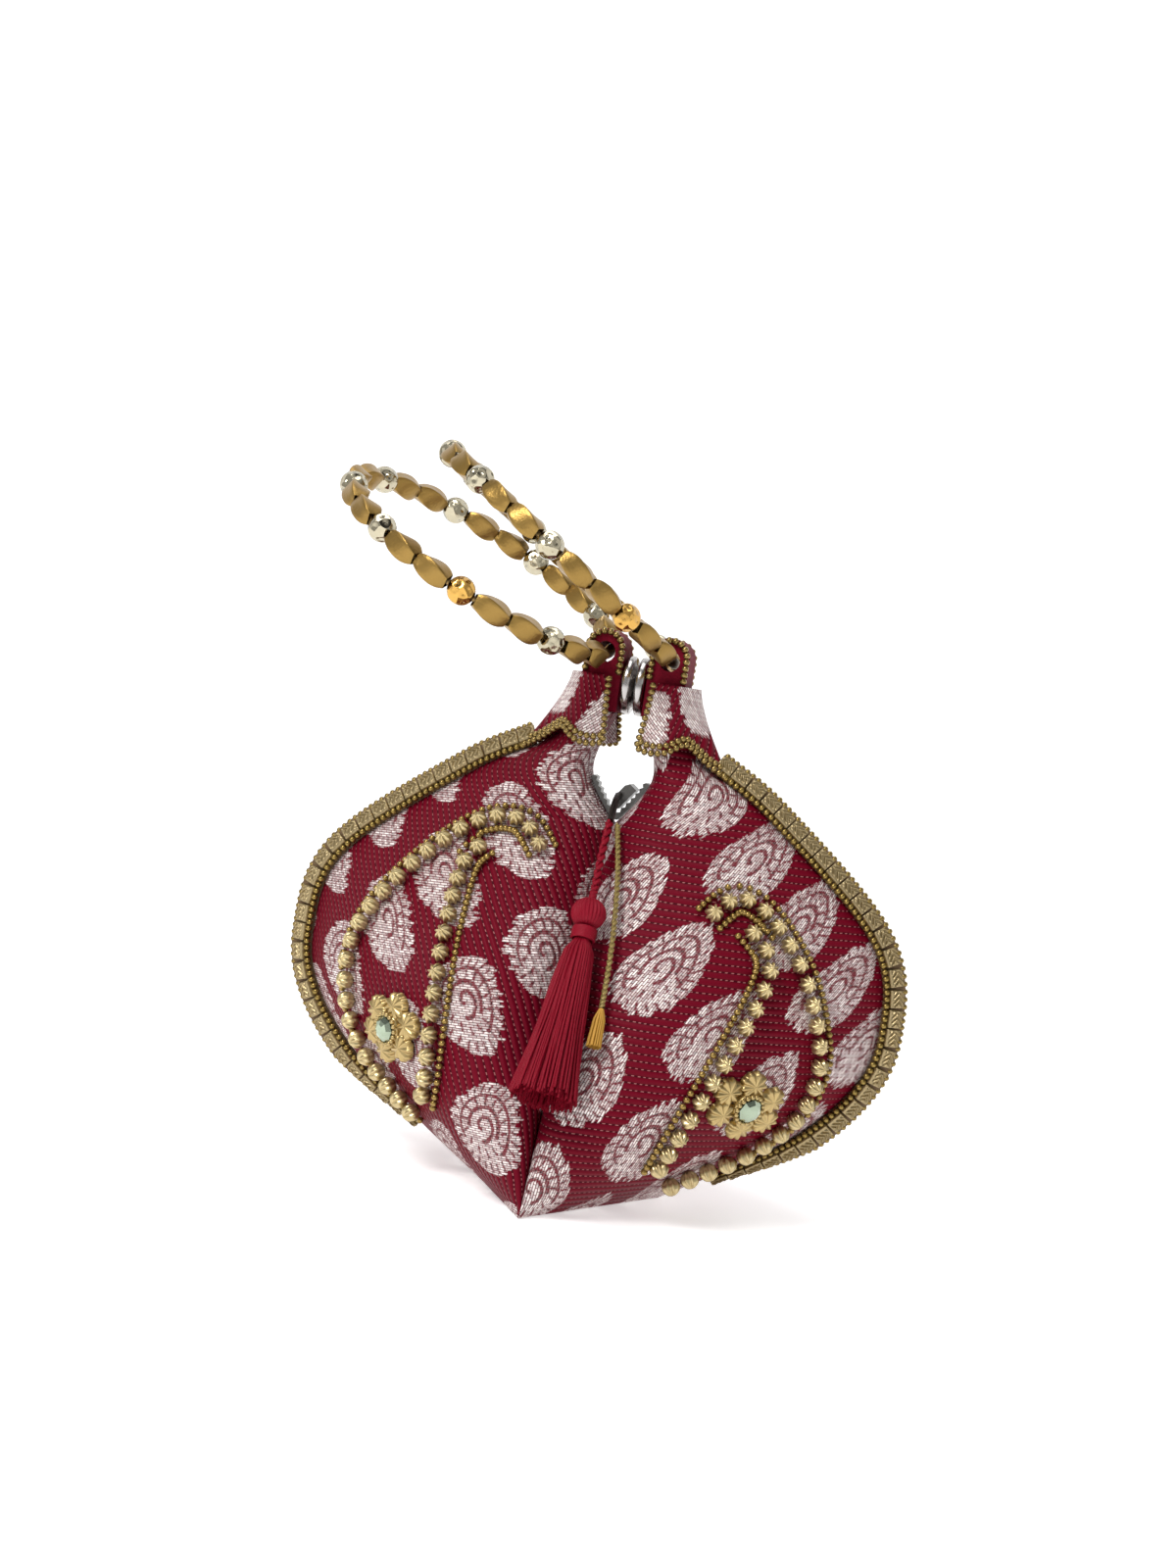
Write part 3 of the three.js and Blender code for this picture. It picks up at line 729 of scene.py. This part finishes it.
class BAG_OT_necks(bpy.types.Operator):
    """Flared collars with beaded hems, neck tabs and the snap"""

    bl_idname = "bag.necks"
    bl_label = "Necks"

    def execute(self, context):
        cloth = brocade("neck cloth", 0.6, context.scene.bag_cloth)
        plain = coat("neck tab cloth", TAB_RED, 0.6, shine=CLOTH_SHINE, grain=(700.0, 0.6, 0.0006))
        steel = coat("snap steel", (0.42, 0.4, 0.39), 0.18, 1.0)
        gold = coat("hem seed bead", (0.26, 0.18, 0.06), 0.25, 0.8)
        r, *seed = seed_bead(context)
        for side, word in ((-1, "left"), (1, "right")):
            recoat(f"{word}_neck", plain)
            sheet = self.collar(side, word, cloth)
            mesh(f"{word}_tab_seeds", *self.tab_beads(side, seed, r), "bag", gold, "gold_bead")
            hems = []
            for line in (sheet[:, -1], sheet[:, -4], sheet[0], sheet[-1]):
                place, t = walk(line, SEED_STEP * r)
                out = unit(np.cross(t, [0.13, 0.07, 1.0]))
                hems.append(copies(*seed, place, np.stack([out, np.cross(t, out), t], -1)))
            mesh(f"{word}_hem_seeds", *merged(hems), "bag", gold, "gold_bead")
            disc, faces = lathe(SNAP_DISC, 64)
            disc = np.stack([side * (disc[:, 2] + 0.1), disc[:, 0], SNAP_HEIGHT + disc[:, 1]], -1)
            mesh(f"{word}_snap", disc, faces, "bag", steel, "snap_metal", (f"{word}_magnet",))
        return {"FINISHED"}

    def collar(self, side, word, cloth):
        """Two-walled oval bell, open towards the snap, whose width grows as a power of the way down and whose
        hem drops in points by a cosine round it. Returns its outer wall."""
        angles = np.linspace(-COLLAR_SIDE, COLLAR_SIDE, COLLAR_AROUND)
        a, t = np.meshgrid(angles, np.linspace(0, 1, COLLAR_DOWN), indexing="ij")
        point = (1 + np.cos(4 * a)) / 2
        low = COLLAR_LOW - (4.0 + 4.5 * np.cos(a) ** 2) * point
        bell = t**1.35
        rx = COLLAR_WIDE + (seam_x(low) - HEM_INSET - COLLAR_WIDE) * bell
        ry = COLLAR_DEEP + (HEM_DEEP + 1.2 * point - COLLAR_DEEP) * bell
        z = COLLAR_TOP + (low - COLLAR_TOP) * t

        def wall(grow):
            return np.stack([side * (NECK_X + (rx + grow) * np.cos(a)), (ry + grow) * np.sin(a), z], -1)

        outer = wall(COLLAR_CLOTH)
        loop = np.concatenate([outer, wall(0.0)[:, ::-1]], 1)
        faces = quads(COLLAR_AROUND, 2 * COLLAR_DOWN, wrap=True)
        piece = mesh(f"{word}_petal_collar", loop, faces, "bag", cloth, "brocade", (f"{word}_collar",))
        across, up = np.degrees(np.concatenate([a, a], 1)) * 0.3 + 40, loop[..., 2]
        weave(piece, across, up, np.ceil(paisley_mask(across + 8, up, 0.3 * side, 3.2 * side, True)))
        return outer

    def tab_beads(self, side, seed, r):
        """Seed beads up both edges and over the round top of a neck tab, front and back."""
        a = np.linspace(0, np.pi, 30)
        over = np.stack([NECK_X + TAB_R * np.cos(a), TAB_MIDDLE + TAB_R * np.sin(a)], -1)
        foot = COLLAR_TOP + 0.5
        line = np.vstack([[NECK_X + TAB_R, foot], over, [NECK_X - TAB_R, foot]])
        p, t = walk(line, SEED_STEP * r)
        o = np.zeros(len(p))
        rows = []
        for y in (-1, 1):
            place = np.stack([side * p[:, 0], o + y * (TAB_HALF + 0.55 * r), p[:, 1]], -1)
            along = np.stack([side * t[:, 0], o, t[:, 1]], -1)
            out = np.tile([0.0, y, 0], (len(p), 1))
            rows.append(copies(*seed, place, np.stack([out, np.cross(along, out), along], -1)))
        return merged(rows)


class BAG_OT_handles(bpy.types.Operator):
    """Two rings of twisted four-sided beads and round beads on a wire"""

    bl_idname = "bag.handles"
    bl_label = "Handles"

    def execute(self, context):
        beads = context.scene.bag_beads
        crackle = (380.0, 0.8, 0.0012, "ShaderNodeTexVoronoi")
        matte = coat("matte gold bead", beads.oval_gold, 0.36, 0.9, grain=(1400.0, 0.35, 0.0003))
        bright = coat("crackle bead", (0.48, 0.43, 0.31), 0.13, 1.0, grain=crackle)
        warm = coat("warm crackle bead", (0.62, 0.36, 0.09), 0.16, 1.0, grain=crackle)
        wire = coat("handle wire", (0.3, 0.2, 0.08), 0.4, 0.9)
        oval = self.oval_bead(beads.oval / MM)
        ball_bead = ball(ROUND_R, 32, 20)
        for side in ("left", "right"):
            s, ovals, rounds = FIRST_BEAD, [], []
            for i in range(BEAD_COUNT):
                step, kind = (ROUND_STEP, rounds) if i % 3 == 2 else (OVAL_STEP, ovals)
                kind.append(s + step / 2)
                s += step
            body = f"{side}_handle"
            points, faces = copies(*oval, *ring_frames(side, ovals))
            strand = (f"{side}_handle_strand",)
            mesh(f"{side}_oval_beads", points, faces, body, matte, "oval_bead", strand)
            for word, material in (("pale", bright), ("gold", warm)):
                picked = [i for i in range(len(rounds)) if (i in GOLD_ROUNDS[side]) == (word == "gold")]
                names = [f"{side}_round_bead_{i + 1}" for i in picked]
                points, faces = copies(*ball_bead, *ring_frames(side, [rounds[i] for i in picked]))
                mesh(f"{side}_{word}_round_beads", points, faces, body, material, "round_bead", names)
            ring = ring_frames(side, np.linspace(0, 2 * np.pi * RING_R, 121))[0]
            mesh(f"{side}_wire", *tubes(ring[None], WIRE_R, 8), body, wire, "oval_bead")
            sleeve = ring_frames(side, np.linspace(-SLEEVE_HALF, SLEEVE_HALF, 11))[0]
            mesh(f"{side}_sleeve", *tubes(sleeve[None], SLEEVE_R, 14), body, matte, "oval_bead")
        return {"FINISHED"}

    def oval_bead(self, long):
        """Barrel with a nearly square section, a superellipse of high power, that twists evenly from end to
        end and whose radius falls towards the ends as a power."""
        t = np.linspace(-1, 1, 19)[:, None]
        quarter = np.array([-0.785, -0.73, -0.5, -0.25, 0, 0.25, 0.5, 0.73])
        a = (quarter + np.arange(4)[:, None] * np.pi / 2).reshape(1, -1)
        b = a + OVAL_TWIST * t
        square = (np.abs(np.cos(a)) ** OVAL_POWER + np.abs(np.sin(a)) ** OVAL_POWER) ** (-1 / OVAL_POWER)
        r = OVAL_R * (1 - 0.42 * np.abs(t) ** 2.4) * square
        points = np.stack([r * np.cos(b), r * np.sin(b), long / 2 * t + 0 * b], -1)
        return points.reshape(-1, 3), quads(*b.shape, wrap=True)


class BAG_OT_zip(bpy.types.Operator):
    """Finish of the zip chain, slider and pull"""

    bl_idname = "bag.zip"
    bl_label = "Zip"

    def execute(self, context):
        metal = coat("zip metal", (0.1, 0.095, 0.09), 0.3, 1.0, grain=(900.0, 0.2, 0.0003))
        for name in ("zip_chain", "zip_slider", "zip_pull"):
            recoat(name, metal)
        return {"FINISHED"}


class BAG_OT_tassel(bpy.types.Operator):
    """Tassel of red threads and the gold cord beside it"""

    bl_idname = "bag.tassel"
    bl_label = "Tassel"

    def execute(self, context):
        rng = np.random.default_rng(7)
        self.red_tassel(context.scene.bag_cloth.thread, rng)
        self.gold_cord(rng)
        return {"FINISHED"}

    def red_tassel(self, color, rng):
        """Twisted loop, a ball ribbed by a cosine, a coil bound round the neck, and threads that spread from
        it by a curve of reach and waver as a sine."""
        red = coat("red thread", color, 0.5, shine=THREAD_SHINE, grain=(1500.0, 0.5, 0.0004))
        basis = hanging_frame(np.subtract(SKIRT_END, SKIRT_TOP), [0, 0, 1.0])

        def add(name, points, faces, node):
            mesh(name, points, faces, "tassel", red, "red_thread", (node,))

        def hang(points):
            return np.asarray(points) @ basis.T + np.array(SKIRT_TOP)

        add("tassel_loop", *twisted(spline(TASSEL_CORD)[::4], 0.6, 0.68, 4.6), "tassel_cord")
        around, down = 156, 30
        a, b = np.meshgrid(np.linspace(0, 2 * np.pi, around, endpoint=False), np.linspace(0.05, 3.09, down))
        k = 5.0 * (1 + 0.05 * np.cos(26 * a + 3 * b))
        head = np.stack([k * np.sin(b) * np.cos(a), k * np.sin(b) * np.sin(a), 5 - 4.8 * np.cos(b)], -1)
        add("tassel_ball", hang(head.reshape(-1, 3)), quads(down, around, wrap=True), "tassel_head")
        k = np.linspace(0, 1, 241)
        coil = np.stack([3.3 * np.cos(50 * k), 3.3 * np.sin(50 * k), 9.9 + 3.5 * k], -1)
        add("tassel_wrap", *tubes(hang(coil)[None], 0.42, 6), "tassel_binding")
        n = SKIRT_THREADS
        turn, near = rng.uniform(0, 2 * np.pi, n)[:, None], np.sqrt(rng.uniform(0.25, 1, n))[:, None]
        t = np.linspace(0, 1, 14)[None]
        end = rng.uniform(0.95, 1.0, n)[:, None]
        swing = turn + rng.normal(0, 0.1, n)[:, None] * t
        r = np.interp(t, *SKIRT_REACH) * near + 0.15 * np.sin(9 * t + turn * 5)
        strands = np.stack([r * np.cos(swing), r * np.sin(swing), SKIRT_START + SKIRT_LONG * t * end], -1)
        add("tassel_threads", *tubes(hang(strands), 0.34, 5), "tassel_skirt")

    def gold_cord(self, rng):
        """Two gold plies down a curve to a tuft of straight threads that spread by a curve of reach."""
        gold = coat("gold thread", (0.3, 0.22, 0.07), 0.45, 0.4)
        yellow = coat("yellow thread", (0.5, 0.26, 0.03), 0.6)
        line = spline(GOLD_CORD)[::3]
        plies = twisted(line, 0.42, 0.5, 3.5)
        twist = mesh("gold_twist", *plies, "tassel", gold, "gold_thread", ("gold_cord",))
        n = TUFT_THREADS
        turn, near = rng.uniform(0, 2 * np.pi, n)[:, None], np.sqrt(rng.uniform(0, 1, n))[:, None]
        t = np.linspace(0, 1, 8)[None]
        r = near * np.interp(t, *TUFT_REACH)
        hairs = np.stack([r * np.cos(turn), r * np.sin(turn), TUFT_LONG * t + 0 * r], -1)
        hairs = hairs @ hanging_frame(TUFT_WAY, [0, 1.0, 0]).T + np.array(TUFT_TOP)
        tuft = mesh("yellow_tuft", *tubes(hairs, 0.25, 5), "tassel", yellow, "gold_thread", ("gold_tuft",))


class BAG_OT_stage(bpy.types.Operator):
    """Pale floor, soft lights and the camera"""

    bl_idname = "bag.stage"
    bl_label = "Stage"

    def execute(self, context):
        scene = context.scene
        self.floor(scene)
        self.lamps(scene)
        self.room(scene)
        self.camera(scene)
        scene.view_settings.view_transform = "Standard"
        return {"FINISHED"}

    def floor(self, scene):
        """Level floor that sweeps up behind through a quarter circle into a wall."""
        pale = coat("pale floor", (0.93, 0.93, 0.93), 0.95)
        shader = pale.node_tree.nodes["Principled BSDF"]
        shader.inputs["Emission Color"].default_value = (1, 1, 1, 1)
        shader.inputs["Emission Strength"].default_value = FLOOR_GLOW
        x = np.linspace(-FLOOR_HALF, FLOOR_HALF, 9)[:, None]
        a = np.linspace(0.08, 1.57, 16)
        level = np.linspace(FLOOR_FRONT, SWEEP_R, 6)
        y = np.concatenate([level, SWEEP_R + SWEEP_R * np.sin(a), [2 * SWEEP_R]])
        z = np.concatenate([0 * level, SWEEP_R - SWEEP_R * np.cos(a), [WALL_TOP]])
        grid = np.stack([x + 0 * y, y + 0 * x, z - FLOOR_DROP + 0 * x], -1)
        data = bpy.data.meshes.new("floor")
        data.from_pydata(grid.reshape(-1, 3).tolist(), [], quads(*grid.shape[:2]).tolist())
        data.polygons.foreach_set("use_smooth", np.ones(len(data.polygons), bool))
        data.materials.append(pale)
        floor = bpy.data.objects.new("floor", data)
        scene.collection.objects.link(floor)

    def lamps(self, scene):
        """Square lamps that face the middle of the bag."""
        for name, spot, power, size in LAMPS:
            light = bpy.data.lights.new(name, "AREA")
            light.energy = power
            light.size = size
            lamp = bpy.data.objects.new(name, light)
            away = unit(np.subtract(spot, LAMP_AIM))
            side = unit(np.cross([0, 0.01, 1.0], away))
            lamp.matrix_world = place_matrix(side, np.cross(away, side), away, spot)
            scene.collection.objects.link(lamp)

    def room(self, scene):
        """Even grey room, with noise patches of light and dark overhead for the metal to show."""
        world = bpy.data.worlds.new("room")
        world.use_nodes = True
        nodes, links = world.node_tree.nodes, world.node_tree.links
        where = nodes.new("ShaderNodeTexCoord")
        noise = nodes.new("ShaderNodeTexNoise")
        noise.inputs["Scale"].default_value = 2.2
        noise.inputs["Detail"].default_value = 1.0
        patches = nodes.new("ShaderNodeMapRange")
        for key, value in (("From Min", 0.4), ("From Max", 0.6), ("To Min", 0.03), ("To Max", 0.7)):
            patches.inputs[key].default_value = value
        height = nodes.new("ShaderNodeSeparateXYZ")
        overhead = nodes.new("ShaderNodeMapRange")
        for key, value in (("From Min", 0.4), ("From Max", 0.65)):
            overhead.inputs[key].default_value = value
        glow = nodes.new("ShaderNodeMix")
        glow.inputs[2].default_value = ROOM_GLOW
        links.new(where.outputs["Generated"], noise.inputs["Vector"])
        links.new(where.outputs["Generated"], height.inputs["Vector"])
        links.new(noise.outputs["Fac"], patches.inputs["Value"])
        links.new(height.outputs["Z"], overhead.inputs["Value"])
        links.new(overhead.outputs["Result"], glow.inputs[0])
        links.new(patches.outputs["Result"], glow.inputs[3])
        links.new(glow.outputs[0], nodes["Background"].inputs["Strength"])
        nodes["Background"].inputs["Color"].default_value = (1, 1, 1, 1)
        scene.world = world

    def camera(self, scene):
        """Camera that looks at the middle of the bag, turned about its own line of sight."""
        s = scene.bag_stage
        a, e, r = s.azimuth, s.elevation, s.roll
        right = np.array([math.cos(a), math.sin(a), 0])
        back = np.array([math.sin(a) * math.cos(e), -math.cos(a) * math.cos(e), math.sin(e)])
        up = np.cross(back, right)
        x = math.cos(r) * right + math.sin(r) * up
        y = -math.sin(r) * right + math.cos(r) * up
        lens = bpy.data.cameras.new("camera")
        lens.sensor_fit = "VERTICAL"
        lens.sensor_height = 36
        lens.lens = s.lens
        lens.shift_x, lens.shift_y = EYE_SHIFT
        lens.clip_start = 0.01
        eye = bpy.data.objects.new("camera", lens)
        eye.matrix_world = place_matrix(x, y, back, np.array(EYE_AIM) + EYE_RANGE * back)
        scene.collection.objects.link(eye)
        scene.camera = eye


class BAG_PT_panel(bpy.types.Panel):
    """Buttons for each group of pieces"""

    bl_idname = "BAG_PT_panel"
    bl_label = "Clutch bag"
    bl_space_type = "VIEW_3D"
    bl_region_type = "UI"
    bl_category = "Clutch bag"

    def draw(self, context):
        for name in STEPS:
            self.layout.operator(f"bag.{name}")
        for group in SETTINGS:
            settings = getattr(context.scene, group)
            for key in settings.__annotations__:
                self.layout.prop(settings, key)


STEPS = ("cloth", "trim", "motifs", "necks", "handles", "zip", "tassel", "stage")
SETTINGS = {"bag_cloth": ClothSettings, "bag_beads": BeadSettings, "bag_stage": StageSettings}
OPERATORS = (
    BAG_OT_cloth,
    BAG_OT_trim,
    BAG_OT_motifs,
    BAG_OT_necks,
    BAG_OT_handles,
    BAG_OT_zip,
    BAG_OT_tassel,
    BAG_OT_stage,
)


def register():
    for kind in (*SETTINGS.values(), *OPERATORS, BAG_PT_panel):
        bpy.utils.register_class(kind)
    for name, kind in SETTINGS.items():
        setattr(bpy.types.Scene, name, bpy.props.PointerProperty(type=kind))


def unregister():
    for name in SETTINGS:
        delattr(bpy.types.Scene, name)
    for kind in reversed((*SETTINGS.values(), *OPERATORS, BAG_PT_panel)):
        bpy.utils.unregister_class(kind)


def main():
    register()
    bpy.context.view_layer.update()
    for name in STEPS:
        if getattr(bpy.ops.bag, name)() != {"FINISHED"}:
            raise RuntimeError(f"bag.{name} did not finish")


if __name__ == "__main__":
    main()
